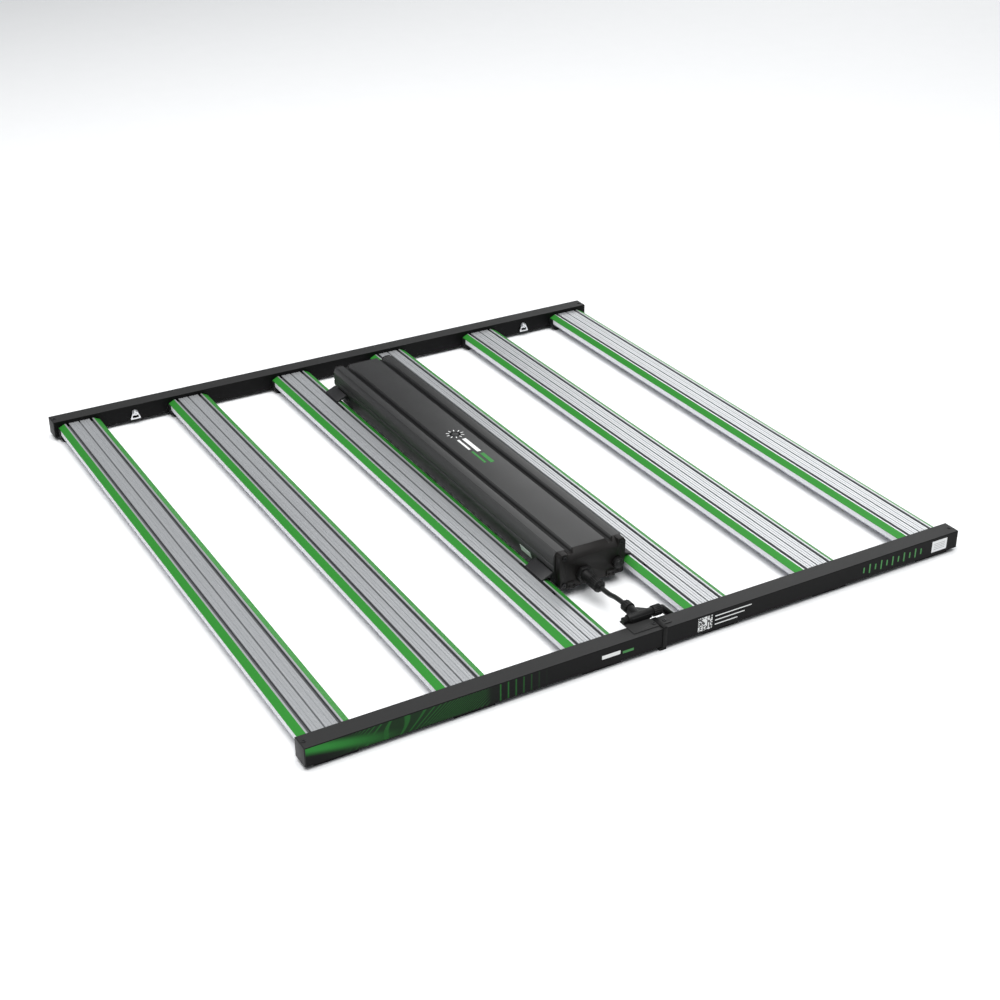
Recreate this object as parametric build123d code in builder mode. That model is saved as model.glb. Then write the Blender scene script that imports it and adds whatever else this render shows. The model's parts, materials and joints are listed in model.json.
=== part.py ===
from build123d import *
import math
import os

# A square LED grow light: six light bars between two end rails, with a long
# driver across the two middle bars.  Millimetres.  X runs along the rails,
# Y along the bars, from the front rail to the rear rail, and Z is up.  The
# origin is the centre of the footprint, on the surface that the light rests on.

# ---- driving dimensions ----
FRAME_SIZE = 1090.0          # outer length and width
FOOT_HEIGHT = 6.0            # the bar brackets stand this far below the rails
RAIL_DEPTH = 28.8
RAIL_HEIGHT = 29.2
RAIL_WALL = 1.8
RAIL_CORNER = 1.0
END_CAP_THICKNESS = 2.0
BAR_COUNT = 6
BAR_PITCH = 200.0
BAR_HALF_WIDTH = 36.5
BAR_SIDE_HALF_WIDTH = 35.2   # the upright side below the green shoulder
BAR_TOP = 28.5               # height of the silver lands
BAR_BASE = 18.0              # height of the flat face that carries the LED board
LENS_HALF_WIDTH = 36.8
LENS_BOTTOM = 12.1
LENS_WALL = 1.5
BRACKET_REACH = 12.0         # how far a bar bracket comes in from its rail
SLOT_CENTRE = 20.9           # side slots of a bar, from its centre line
SLOT_MOUTH = 5.2
SLOT_WIDTH = 7.8
SLOT_FLOOR = 22.8
SLOT_LIP = 1.9
DRIVER_FRONT = -359.0        # outer face of the driver's front end cap
DRIVER_REAR = 413.0
DRIVER_CAP = 14.0            # depth of the front end cap
REAR_CAP = 4.0
DRIVER_BOTTOM = 10.0
DRIVER_TOP = 72.0
HANGER_X = 400.0             # hanger links, from the centre of each rail
HANGER_Z = 21.5
RUNNING_GAP = 0.06           # radial clearance of a part that turns

RAIL_BOTTOM = FOOT_HEIGHT
RAIL_TOP = RAIL_BOTTOM + RAIL_HEIGHT
RAIL_MIDDLE = RAIL_BOTTOM + RAIL_HEIGHT / 2
RAIL_Y = FRAME_SIZE / 2 - RAIL_DEPTH / 2
RAIL_FACE = FRAME_SIZE / 2 - RAIL_DEPTH
RAIL_LENGTH = FRAME_SIZE - 2 * END_CAP_THICKNESS
BAR_XS = [(i - (BAR_COUNT - 1) / 2) * BAR_PITCH for i in range(BAR_COUNT)]
BOARD_LENGTH = 2 * (RAIL_FACE - BRACKET_REACH)
BOARD_THICKNESS = 1.6
CONNECTOR_Z = 12.2           # the bars' wiring passes through the rail here
CONNECTOR_RADIUS = 3.6

os.makedirs("parts", exist_ok=True)


def save(piece, name):
    """Label a finished piece and write it as its own file."""
    piece.part.label = name
    export_step(piece.part, f"parts/{name}.step")


def across(x=0.0, y=0.0, z=0.0):
    """A plane across the bars: sketch X is X, sketch Y is Z, it faces -Y."""
    return Plane((x, y, z), x_dir=(1, 0, 0), z_dir=(0, -1, 0))


def along_rail(x=0.0, y=0.0, z=0.0):
    """A plane across the rails: sketch X is Y, sketch Y is Z, it faces +X."""
    return Plane((x, y, z), x_dir=(0, 1, 0), z_dir=(1, 0, 0))


# ---- end rails ----
PLATE_SCREW_X = (-8.0, 9.7)
PLATE_SCREW_Y = -528.2
CAP_SCREW_INSET = 6.0
FOOT_SCREW_SPACING = 44.0
SCREW_RADIUS = 1.9
SCREW_HOLE = 2.0
FEED_X = 40.0                # the wiring enters the front rail here
FEED_Z = 21.0
FEED_RADIUS = 5.5
HANGER_NUT_RADIUS = 3.6


def make_rail(name, side):
    """One square tube; side is -1 at the front and +1 at the rear."""
    centre = (0, side * RAIL_Y, RAIL_MIDDLE)
    with BuildPart() as rail:
        with BuildSketch(along_rail(*centre)):
            RectangleRounded(RAIL_DEPTH, RAIL_HEIGHT, RAIL_CORNER)
            RectangleRounded(RAIL_DEPTH - 2 * RAIL_WALL, RAIL_HEIGHT - 2 * RAIL_WALL,
                             RAIL_CORNER / 2, mode=Mode.SUBTRACT)
        extrude(amount=RAIL_LENGTH / 2, both=True)
        with BuildSketch(Plane.XY.offset(RAIL_BOTTOM)):
            for x in BAR_XS:
                with Locations((x, side * RAIL_Y)):
                    with GridLocations(FOOT_SCREW_SPACING, 0, 2, 1):
                        Circle(SCREW_HOLE)
        extrude(amount=RAIL_WALL, mode=Mode.SUBTRACT)
        with BuildSketch(Plane.XY.offset(RAIL_TOP)):
            for x in (-FRAME_SIZE / 2 + CAP_SCREW_INSET, FRAME_SIZE / 2 - CAP_SCREW_INSET):
                with Locations((x, side * RAIL_Y)):
                    Circle(SCREW_HOLE)
            if side < 0:
                for x in PLATE_SCREW_X:
                    with Locations((x, PLATE_SCREW_Y)):
                        Circle(SCREW_HOLE)
        extrude(amount=-RAIL_WALL, mode=Mode.SUBTRACT)
        with BuildSketch(across(0, side * RAIL_FACE)):
            for x in (-HANGER_X, HANGER_X):
                with Locations((x, HANGER_Z)):
                    Circle(HANGER_NUT_RADIUS)
            if side < 0:
                for x in BAR_XS:
                    with Locations((x, CONNECTOR_Z)):
                        Circle(CONNECTOR_RADIUS)
                with Locations((FEED_X, FEED_Z)):
                    Circle(FEED_RADIUS)
        extrude(amount=-side * RAIL_WALL, mode=Mode.SUBTRACT)
    save(rail, name)


make_rail("front_rail", -1)
make_rail("rear_rail", 1)


# ---- plastic plugs in the rail ends ----
PLUG_LENGTH = 12.0
PLUG_GAP = 0.2

with BuildPart() as end_caps:
    for side in (-1, 1):
        for end in (-1, 1):
            outer = end * FRAME_SIZE / 2
            with BuildSketch(along_rail(outer, side * RAIL_Y, RAIL_MIDDLE)):
                RectangleRounded(RAIL_DEPTH, RAIL_HEIGHT, RAIL_CORNER)
            extrude(amount=-end * END_CAP_THICKNESS)
            inner = outer - end * END_CAP_THICKNESS
            with BuildSketch(along_rail(inner, side * RAIL_Y, RAIL_MIDDLE)):
                Rectangle(RAIL_DEPTH - 2 * RAIL_WALL - 2 * PLUG_GAP,
                          RAIL_HEIGHT - 2 * RAIL_WALL - 2 * PLUG_GAP)
            extrude(amount=-end * PLUG_LENGTH)
            with BuildSketch(Plane.XY.offset(RAIL_TOP - RAIL_WALL)):
                with Locations((outer - end * CAP_SCREW_INSET, side * RAIL_Y)):
                    Circle(SCREW_RADIUS)
            extrude(amount=-8, mode=Mode.SUBTRACT)
save(end_caps, "rail_end_caps")


# ---- light bars ----
SLOPE_START = 26.4           # the green shoulder falls from here to the bar's edge
SHOULDER_Z = 23.5
SHOULDER_UNDERSIDE = 22.7
CLIP_GROOVE = (19.8, 21.2)   # the lens clips in here, low and high edge
CLIP_DEPTH = 1.0
CENTRE_GROOVE_HALF = 1.3
CENTRE_GROOVE_DEPTH = 3.0
LAND_NOTCHES = ((5.3, 0.6, 0.5), (10.2, 1.0, 1.1), (14.8, 0.6, 0.5))  # place, half width, depth
BAR_SCREW_X = 13.0
BAR_SCREW_DEPTH = 7.0


def bar_outline():
    """Right half of the bar's section, from the centre groove to the base."""
    points = [(0, BAR_TOP - CENTRE_GROOVE_DEPTH),
              (CENTRE_GROOVE_HALF, BAR_TOP - CENTRE_GROOVE_DEPTH),
              (CENTRE_GROOVE_HALF, BAR_TOP)]
    for place, half, depth in LAND_NOTCHES:
        points += [(place - half, BAR_TOP), (place, BAR_TOP - depth), (place + half, BAR_TOP)]
    mouth = SLOT_MOUTH / 2
    half_slot = SLOT_WIDTH / 2
    lip = BAR_TOP - SLOT_LIP
    points += [(SLOT_CENTRE - mouth, BAR_TOP), (SLOT_CENTRE - mouth, lip),
               (SLOT_CENTRE - half_slot, lip), (SLOT_CENTRE - half_slot, SLOT_FLOOR),
               (SLOT_CENTRE + half_slot, SLOT_FLOOR), (SLOT_CENTRE + half_slot, lip),
               (SLOT_CENTRE + mouth, lip), (SLOT_CENTRE + mouth, BAR_TOP)]
    points += [(SLOPE_START, BAR_TOP), (BAR_HALF_WIDTH, SHOULDER_Z),
               (BAR_HALF_WIDTH, SHOULDER_UNDERSIDE), (BAR_SIDE_HALF_WIDTH, SHOULDER_UNDERSIDE)]
    low, high = CLIP_GROOVE
    points += [(BAR_SIDE_HALF_WIDTH, high), (BAR_SIDE_HALF_WIDTH - CLIP_DEPTH, high),
               (BAR_SIDE_HALF_WIDTH - CLIP_DEPTH, low), (BAR_SIDE_HALF_WIDTH, low),
               (BAR_SIDE_HALF_WIDTH, BAR_BASE), (0, BAR_BASE)]
    return points


def make_heatsink(name, x):
    """The bar's aluminium extrusion, from rail to rail."""
    with BuildPart() as heatsink:
        with BuildSketch(across(x)):
            with BuildLine():
                Polyline(*bar_outline())
                mirror(about=Plane.YZ)
            make_face()
        extrude(amount=RAIL_FACE, both=True)
        with BuildSketch(Plane.XY.offset(BAR_BASE)):
            with Locations((x, 0)):
                with GridLocations(2 * BAR_SCREW_X, 2 * RAIL_FACE - BRACKET_REACH, 2, 2):
                    Circle(SCREW_HOLE)
        extrude(amount=BAR_SCREW_DEPTH, mode=Mode.SUBTRACT)
    save(heatsink, name)


def make_board(name, x):
    """The LED board, screwed flat to the underside of the extrusion."""
    with BuildPart() as board:
        with BuildSketch(Plane.XY.offset(BAR_BASE)):
            with Locations((x, 0)):
                Rectangle(62, BOARD_LENGTH)
        extrude(amount=-BOARD_THICKNESS)
    save(board, name)


def make_lens(name, x):
    """The clear trough that snaps over the board, with a clip rib on each side."""
    rib_low, rib_high = CLIP_GROOVE[0] + 0.2, CLIP_GROOVE[1] - 0.2
    inside = LENS_HALF_WIDTH - LENS_WALL
    top = SHOULDER_UNDERSIDE - 0.1
    with BuildPart() as lens:
        with BuildSketch(across(x)):
            with BuildLine():
                Polyline((0, LENS_BOTTOM), (LENS_HALF_WIDTH - 2, LENS_BOTTOM),
                         (LENS_HALF_WIDTH, LENS_BOTTOM + 2), (LENS_HALF_WIDTH, top),
                         (inside, top), (inside, rib_high), (inside - 0.8, rib_high),
                         (inside - 0.8, rib_low), (inside, rib_low),
                         (inside, LENS_BOTTOM + 2.2), (inside - 0.8, LENS_BOTTOM + LENS_WALL),
                         (0, LENS_BOTTOM + LENS_WALL))
                mirror(about=Plane.YZ)
            make_face()
        extrude(amount=BOARD_LENGTH / 2, both=True)
    save(lens, name)


for number, bar_x in enumerate(BAR_XS, start=1):
    make_heatsink(f"bar_heatsink_{number}", bar_x)
    make_board(f"led_board_{number}", bar_x)
    make_lens(f"bar_lens_{number}", bar_x)


# ---- black brackets that carry the bar ends under the rails ----
CHEEK_HALF_WIDTH = 38.3
FOOT_HALF_WIDTH = 31.0
FOOT_DEPTH = 24.0
HEAD_RADIUS = 3.8
HEAD_DEPTH = 2.2


def make_bar_brackets(name, side):
    """Six moulded brackets: a foot under the rail and a block round the lens end."""
    with BuildPart() as brackets:
        for x in BAR_XS:
            foot_y = side * (RAIL_FACE + FOOT_DEPTH / 2)
            with BuildSketch(Plane.XY):
                with Locations((x, foot_y)):
                    Rectangle(2 * FOOT_HALF_WIDTH, FOOT_DEPTH)
            extrude(amount=FOOT_HEIGHT)
            with BuildSketch(across(x, side * RAIL_FACE)):
                with BuildLine():
                    Polyline((0, 0), (FOOT_HALF_WIDTH, 0), (CHEEK_HALF_WIDTH, 7),
                             (CHEEK_HALF_WIDTH, SHOULDER_UNDERSIDE - 0.1),
                             (BAR_SIDE_HALF_WIDTH + 0.1, SHOULDER_UNDERSIDE - 0.1),
                             (BAR_SIDE_HALF_WIDTH + 0.1, BAR_BASE), (0, BAR_BASE))
                    mirror(about=Plane.YZ)
                make_face()
            extrude(amount=side * BRACKET_REACH)
            with BuildSketch(across(x, side * RAIL_FACE, CONNECTOR_Z)):
                Circle(CONNECTOR_RADIUS)
            extrude(amount=side * BRACKET_REACH, mode=Mode.SUBTRACT)
            with Locations(Pos(x, side * RAIL_Y, 0) * Rot(180, 0, 0)):
                with GridLocations(FOOT_SCREW_SPACING, 0, 2, 1):
                    CounterSinkHole(SCREW_HOLE, HEAD_RADIUS + 0.1, FOOT_HEIGHT)
            with Locations(Pos(x, side * (RAIL_FACE - BRACKET_REACH / 2), 0) * Rot(180, 0, 0)):
                with GridLocations(2 * BAR_SCREW_X, 0, 2, 1):
                    CounterSinkHole(SCREW_HOLE, HEAD_RADIUS + 0.1, BAR_BASE)
    save(brackets, name)


make_bar_brackets("front_bar_brackets", -1)
make_bar_brackets("rear_bar_brackets", 1)


def countersunk_profile(length):
    """Half section of a countersunk screw, head down at height 0."""
    Polyline((0, 0), (HEAD_RADIUS, 0), (SCREW_RADIUS, HEAD_DEPTH), (SCREW_RADIUS, length),
             (0, length), close=True)


with BuildPart() as bracket_screws:
    for x in BAR_XS:
        for side in (-1, 1):
            for dx, y, length in ((FOOT_SCREW_SPACING / 2, RAIL_Y, 12.0),
                                  (BAR_SCREW_X, RAIL_FACE - BRACKET_REACH / 2, 24.0)):
                for hand in (-1, 1):
                    with BuildSketch(across(x + hand * dx, side * y, 0.1)):
                        with BuildLine():
                            countersunk_profile(length)
                        make_face()
                    revolve(axis=Axis((x + hand * dx, side * y, 0), (0, 0, 1)))
save(bracket_screws, "bar_bracket_screws")


# ---- driver housing: a hollow extrusion with ribbed shoulders ----
PANEL_HALF = 28.0
GROOVE_FLOOR = 66.0
HOUSING_FRONT = DRIVER_FRONT + DRIVER_CAP
HOUSING_REAR = DRIVER_REAR - REAR_CAP
HOUSING_MIDDLE = (HOUSING_FRONT + HOUSING_REAR) / 2
HOUSING_LENGTH = HOUSING_REAR - HOUSING_FRONT
WALL_FOOT = (50.0, DRIVER_BOTTOM)   # lower wall, from its foot to the overhang
WALL_KNEE = (60.0, 42.0)


def driver_outline():
    """Right half of the driver's section, from the centre of the top panel."""
    return [(0, DRIVER_TOP), (PANEL_HALF, DRIVER_TOP), (31, GROOVE_FLOOR), (38, GROOVE_FLOOR),
            (41, DRIVER_TOP), (54.4, DRIVER_TOP), (54.8, 71), (55.4, 71), (55.9, 71.6), (60, 64),
            (60, 51.2), (58.8, 50.6), (58.8, 49.4), (60, 48.8), WALL_KNEE,
            (58.2, 38), WALL_FOOT, (48, DRIVER_BOTTOM), (48, DRIVER_BOTTOM + 2),
            (0, DRIVER_BOTTOM + 2)]


with BuildPart() as housing:
    with BuildSketch(across(0, HOUSING_MIDDLE)):
        with BuildLine():
            Polyline(*driver_outline())
            mirror(about=Plane.YZ)
        make_face()
        with BuildLine():
            Polyline((0, 15), (47, 15), (55.3, 43), (55.3, 62), (0, 62))
            mirror(about=Plane.YZ)
        make_face(mode=Mode.SUBTRACT)
    extrude(amount=HOUSING_LENGTH / 2, both=True)
save(housing, "driver_housing")


# ---- driver end caps ----
CAP_SCREWS = ((49.5, 66.0), (49.5, 20.5))   # beside the centre line, and height
CAP_HALF_WIDTH = 57.0
CAP_BOTTOM = 14.0
CAP_LUGS = (-38.0, 31.0)
SOCKET_X = -15.6
SOCKET_Z = 31.6
KNOB_X = 42.0
KNOB_Z = 35.0
KNOB_SHAFT = 3.0
GLAND_Z = 46.0               # high enough for the mains lead to pass over the rear rail
GLAND_NECK = 8.0
SOCKET_NECK = 7.0
DIMMER_BUSH = 5.0
HOLE_GAP = 0.1               # radial gap between a neck and its hole
LUG_WIDTH = 14.0
LUG_HEIGHT = 10.0
LUG_REACH = 3.0
LUG_MIDDLE = 19.0


def cap_outline():
    """Right half of an end cap: the driver's section with its grooves bridged."""
    return [(0, DRIVER_TOP), (PANEL_HALF, DRIVER_TOP), (31, GROOVE_FLOOR), (38, GROOVE_FLOOR),
            (41, DRIVER_TOP), (54, DRIVER_TOP), (CAP_HALF_WIDTH, 67), (CAP_HALF_WIDTH, 38),
            (55, 30), (55, CAP_BOTTOM + 2), (53, CAP_BOTTOM), (0, CAP_BOTTOM)]


def make_driver_cap(name, outer, side, depth, slope):
    """A cast end cap whose top slopes down between two corner posts."""
    with BuildPart() as cap:
        with BuildSketch(across(0, outer)):
            with BuildLine():
                Polyline(*cap_outline())
                mirror(about=Plane.YZ)
            make_face()
        extrude(amount=side * depth)
        with BuildSketch(along_rail(0, outer, DRIVER_TOP)):
            with BuildLine():
                Polyline((0, 0.5), (-side * slope[0], 0.5), (-side * slope[0], 0),
                         (0, -slope[1]), close=True)
            make_face()
        extrude(amount=44, both=True, mode=Mode.SUBTRACT)
        with BuildSketch(across(0, outer)):
            for across_x, height in CAP_SCREWS:
                for hand in (-1, 1):
                    with Locations((hand * across_x, height)):
                        Circle(SCREW_HOLE)
            if side < 0:
                with Locations((SOCKET_X, SOCKET_Z)):
                    Circle(SOCKET_NECK + HOLE_GAP)
                with Locations((KNOB_X, KNOB_Z)):
                    Circle(DIMMER_BUSH + HOLE_GAP)
            else:
                with Locations((0, GLAND_Z)):
                    Circle(GLAND_NECK + HOLE_GAP)
        extrude(amount=side * depth, mode=Mode.SUBTRACT)
        if side < 0:
            for foot_x in CAP_LUGS:
                with BuildSketch(across(foot_x, outer)):
                    with Locations((0, LUG_MIDDLE)):
                        RectangleRounded(LUG_WIDTH, LUG_HEIGHT, 1.5)
                extrude(amount=LUG_REACH)
                with BuildSketch(across(foot_x, outer - LUG_REACH)):
                    for hand in (-1, 1):
                        with Locations((hand * 3.8, LUG_MIDDLE)):
                            Circle(SCREW_RADIUS)
                extrude(amount=-1.6, mode=Mode.SUBTRACT)
    save(cap, name)


make_driver_cap("driver_front_cap", DRIVER_FRONT, -1, DRIVER_CAP, (DRIVER_CAP - 2, 12.0))
make_driver_cap("driver_rear_cap", DRIVER_REAR, 1, REAR_CAP, (2.0, 2.0))

CAP_HEAD_RADIUS = 3.4
CAP_HEAD_HEIGHT = 1.8
with BuildPart() as cap_screws:
    for outer, side, depth in ((DRIVER_FRONT, -1, DRIVER_CAP), (DRIVER_REAR, 1, REAR_CAP)):
        for across_x, height in CAP_SCREWS:
            for hand in (-1, 1):
                with BuildSketch(across(hand * across_x, outer, height)):
                    Circle(CAP_HEAD_RADIUS)
                extrude(amount=-side * CAP_HEAD_HEIGHT)
                with BuildSketch(across(hand * across_x, outer, height)):
                    Circle(SCREW_RADIUS)
                extrude(amount=side * (depth - 0.1))
                with BuildSketch(across(hand * across_x, outer + side * CAP_HEAD_HEIGHT, height)):
                    RegularPolygon(1.5, 6)
                extrude(amount=side * 1.2, mode=Mode.SUBTRACT)
save(cap_screws, "driver_cap_screws")


# ---- inside the driver ----
PILLAR_FOOT = 15.0           # inner floor of the housing
BOARD_UNDERSIDE = 19.0
BOARD_TOP = BOARD_UNDERSIDE + BOARD_THICKNESS
with BuildPart() as circuit_board:
    with BuildSketch(Plane.XY.offset(BOARD_UNDERSIDE)):
        with Locations((0, HOUSING_MIDDLE)):
            Rectangle(88, HOUSING_LENGTH - 24)
    extrude(amount=BOARD_THICKNESS)
    with BuildSketch(Plane.XY.offset(PILLAR_FOOT)):
        with Locations((0, HOUSING_MIDDLE)):
            with GridLocations(70, 220, 2, 4):
                Circle(3)
    extrude(amount=BOARD_UNDERSIDE - PILLAR_FOOT)
save(circuit_board, "driver_circuit_board")

with BuildPart() as transformer:
    with BuildSketch(Plane.XY.offset(BOARD_TOP)):
        with Locations((0, HOUSING_MIDDLE + 40)):
            Rectangle(62, 54)
            Rectangle(30, 70)
    extrude(amount=38)
    with BuildSketch(Plane.XY.offset(BOARD_TOP)):
        with Locations((0, HOUSING_MIDDLE + 220)):
            Circle(24)
            Circle(11, mode=Mode.SUBTRACT)
    extrude(amount=24)
save(transformer, "driver_transformers")

with BuildPart() as capacitors:
    with BuildSketch(Plane.XY.offset(BOARD_TOP)):
        with Locations((0, HOUSING_MIDDLE - 120)):
            with GridLocations(34, 42, 2, 4):
                Circle(15)
    extrude(amount=36)
    fillet(capacitors.edges().group_by(Axis.Z)[-1], 1.5)
save(capacitors, "driver_capacitors")


# ---- dimmer: potentiometer through the front cap, and its knob ----
with BuildPart() as potentiometer:
    with BuildSketch(across(KNOB_X, DRIVER_FRONT, KNOB_Z)):
        Circle(DIMMER_BUSH)
        Circle(KNOB_SHAFT + RUNNING_GAP, mode=Mode.SUBTRACT)
    extrude(amount=-DRIVER_CAP)
    with BuildSketch(across(KNOB_X, DRIVER_FRONT + DRIVER_CAP, KNOB_Z)):
        Rectangle(13, 20)
    extrude(amount=-9)
save(potentiometer, "dimmer_potentiometer")

KNOB_RADIUS = 8.2
KNOB_RIDGES = 18
with BuildPart() as knob:
    with BuildSketch(across(KNOB_X, DRIVER_FRONT - 0.6, KNOB_Z)):
        Circle(KNOB_RADIUS)
        with PolarLocations(KNOB_RADIUS + 0.35, KNOB_RIDGES):
            Circle(0.8, mode=Mode.SUBTRACT)
    extrude(amount=8)
    with BuildSketch(across(KNOB_X, DRIVER_FRONT - 8.6, KNOB_Z)):
        Circle(6.2)
    extrude(amount=1.6, taper=18)
    with BuildSketch(across(KNOB_X, DRIVER_FRONT - 10.2, KNOB_Z)):
        with Locations((0, 3.2)):
            Rectangle(1.2, 3.4)
    extrude(amount=-0.7, mode=Mode.SUBTRACT)
    with BuildSketch(across(KNOB_X, DRIVER_FRONT - 0.6, KNOB_Z)):
        Circle(KNOB_SHAFT)
    extrude(amount=-12)
save(knob, "dimmer_knob")


# ---- output socket, coupling ring and plug on the front cap ----
SOCKET_HEX = 14.0
SOCKET_HEX_DEPTH = 7.0
SOCKET_BARREL = 8.8
SOCKET_NOSE = DRIVER_FRONT - 25.0
RING_LENGTH = 18.0
RING_RADIUS = 9.7
RING_RIDGES = 20
PLUG_RADIUS = 7.0
RING_FRONT = SOCKET_NOSE - 0.3 - RING_LENGTH

with BuildPart() as socket:
    with BuildSketch(across(SOCKET_X, DRIVER_FRONT, SOCKET_Z)):
        RegularPolygon(SOCKET_HEX, 6)
    extrude(amount=SOCKET_HEX_DEPTH)
    chamfer(socket.faces().sort_by(Axis.Y)[0].edges(), 1.0)
    with BuildSketch(across(SOCKET_X, DRIVER_FRONT - SOCKET_HEX_DEPTH, SOCKET_Z)):
        Circle(SOCKET_BARREL)
    extrude(amount=DRIVER_FRONT - SOCKET_HEX_DEPTH - SOCKET_NOSE)
    fillet(socket.faces().sort_by(Axis.Y)[0].edges(), 0.8)
    with BuildSketch(across(SOCKET_X, DRIVER_FRONT, SOCKET_Z)):
        Circle(SOCKET_NECK)
    extrude(amount=-DRIVER_CAP - 4)
save(socket, "output_socket")


def ridged_ring(x, y, z, radius, bore, length, ridges, plane):
    """A coupling ring with grip ridges, extruded from its plane."""
    with BuildPart() as ring:
        with BuildSketch(plane(x, y, z)):
            Circle(radius)
            with PolarLocations(radius + 0.45, ridges):
                Circle(1.0, mode=Mode.SUBTRACT)
            Circle(bore + RUNNING_GAP, mode=Mode.SUBTRACT)
        extrude(amount=length)
    return ring


coupling_ring = ridged_ring(SOCKET_X, SOCKET_NOSE - 0.3, SOCKET_Z, RING_RADIUS, PLUG_RADIUS,
                            RING_LENGTH, RING_RIDGES, across)
save(coupling_ring, "output_coupling_ring")

LEAD_RADIUS = 3.75
PLUG_TAIL_END = RING_FRONT - 6.0
with BuildPart() as plug:
    with BuildSketch(across(SOCKET_X, SOCKET_NOSE, SOCKET_Z)):
        Circle(PLUG_RADIUS)
    extrude(amount=SOCKET_NOSE - RING_FRONT + 0.3)
    with BuildSketch(across(SOCKET_X, RING_FRONT - 0.3, SOCKET_Z)):
        Circle(8.2)
    extrude(amount=RING_FRONT - 0.3 - PLUG_TAIL_END, taper=26)
save(plug, "output_plug")


# ---- splitter: a T of rubber-moulded plugs behind the front rail ----
TEE_Y = -506.8
TEE_Z = 41.2
TEE_RADIUS = 6.6
TEE_LEFT = -38.0
TEE_RIGHT = 3.0
STEM_X = -19.5
STEM_END = -473.0
PLATE_THICKNESS = 1.2
PLATE_TOP = RAIL_TOP + PLATE_THICKNESS
COLLAR_LENGTH = 12.0
NUT_LENGTH = 13.0

with BuildPart() as tee:
    with BuildSketch(along_rail(TEE_LEFT, TEE_Y, TEE_Z)):
        Circle(TEE_RADIUS)
    extrude(amount=TEE_RIGHT - TEE_LEFT)
    with BuildSketch(across(STEM_X, TEE_Y, TEE_Z)):
        Circle(TEE_RADIUS)
    extrude(amount=-(STEM_END - TEE_Y))
    with BuildSketch(Plane.XY.offset(PLATE_TOP)) as tee_web:
        with BuildLine():
            Polyline((TEE_LEFT + 3, TEE_Y - 7.2), (0, TEE_Y - 7.2), (0, TEE_Y + 7.2),
                     (STEM_X + 8, -490), (STEM_X - 8, -490), (TEE_LEFT + 3, TEE_Y + 7.2), close=True)
        make_face()
        fillet(tee_web.vertices(), 2.5)
    extrude(amount=7.5)
    with BuildSketch(Plane.XY.offset(PLATE_TOP)):
        with Locations((-27, TEE_Y)):
            Rectangle(60, 26)
    extrude(amount=-8, mode=Mode.SUBTRACT)
    with BuildSketch(along_rail(TEE_RIGHT, TEE_Y, TEE_Z)):
        Circle(5.8)
    extrude(amount=NUT_LENGTH + 1.2)
save(tee, "splitter_body")

inlet_ring = ridged_ring(STEM_X, STEM_END - 1.0, TEE_Z, 8.6, TEE_RADIUS, COLLAR_LENGTH, 16, across)
save(inlet_ring, "splitter_inlet_ring")

outlet_ring = ridged_ring(TEE_RIGHT + 0.6, TEE_Y, TEE_Z, 8.2, 5.8, NUT_LENGTH, 18, along_rail)
save(outlet_ring, "splitter_outlet_ring")

BLANK_RADIUS = TEE_Z - PLATE_TOP - 0.1
BLANK_LENGTH = 8.0
with BuildPart() as blank_cap:
    with BuildSketch(along_rail(TEE_LEFT, TEE_Y, TEE_Z)):
        Circle(BLANK_RADIUS)
        with PolarLocations(BLANK_RADIUS + 0.4, 14):
            Circle(0.8, mode=Mode.SUBTRACT)
    extrude(amount=-BLANK_LENGTH)
    fillet(blank_cap.faces().sort_by(Axis.X)[0].edges(), 0.4)
save(blank_cap, "splitter_blank_cap")

ELBOW_START = TEE_RIGHT + NUT_LENGTH + 1.2
ELBOW_RADIUS = 5.4
with BuildPart() as elbow:
    with BuildLine():
        elbow_path = Polyline((ELBOW_START, TEE_Y, TEE_Z), (ELBOW_START + 3, TEE_Y, TEE_Z),
                              (FEED_X, TEE_Y - 0.5, FEED_Z),
                              (FEED_X, -RAIL_FACE - RAIL_WALL, FEED_Z))
    with BuildSketch(Plane(elbow_path @ 0, z_dir=elbow_path % 0)):
        Circle(ELBOW_RADIUS)
    sweep(transition=Transition.ROUND)
save(elbow, "feed_elbow")

with BuildPart() as plate:
    with BuildSketch(Plane.XY.offset(RAIL_TOP)):
        with BuildLine():
            Polyline((-46, -536), (18, -536), (18, -517), (-5, -517), (-5, -499),
                     (-46, -499), close=True)
        make_face()
    extrude(amount=PLATE_THICKNESS)
    fillet(plate.edges().filter_by(Axis.Z), 1.5)
    with BuildSketch(Plane.XY.offset(RAIL_TOP)):
        for x in PLATE_SCREW_X:
            with Locations((x, PLATE_SCREW_Y)):
                Circle(SCREW_HOLE)
    extrude(amount=PLATE_THICKNESS, mode=Mode.SUBTRACT)
save(plate, "splitter_plate")

with BuildPart() as rail_screws:
    screw_spots = [(x, PLATE_SCREW_Y, PLATE_TOP) for x in PLATE_SCREW_X]
    for side in (-1, 1):
        for end in (-1, 1):
            screw_spots.append((end * (FRAME_SIZE / 2 - CAP_SCREW_INSET), side * RAIL_Y, RAIL_TOP))
    for x, y, seat in screw_spots:
        with BuildSketch(Plane.XY.offset(seat)):
            with Locations((x, y)):
                Circle(3.2)
        extrude(amount=1.0, taper=20)
        with BuildSketch(Plane.XY.offset(seat)):
            with Locations((x, y)):
                Circle(SCREW_RADIUS)
        extrude(amount=-9)
        with BuildSketch(Plane.XY.offset(seat + 1.0)):
            with Locations((x, y)):
                RegularPolygon(1.3, 6)
        extrude(amount=-1.0, mode=Mode.SUBTRACT)
save(rail_screws, "rail_screws")

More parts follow.
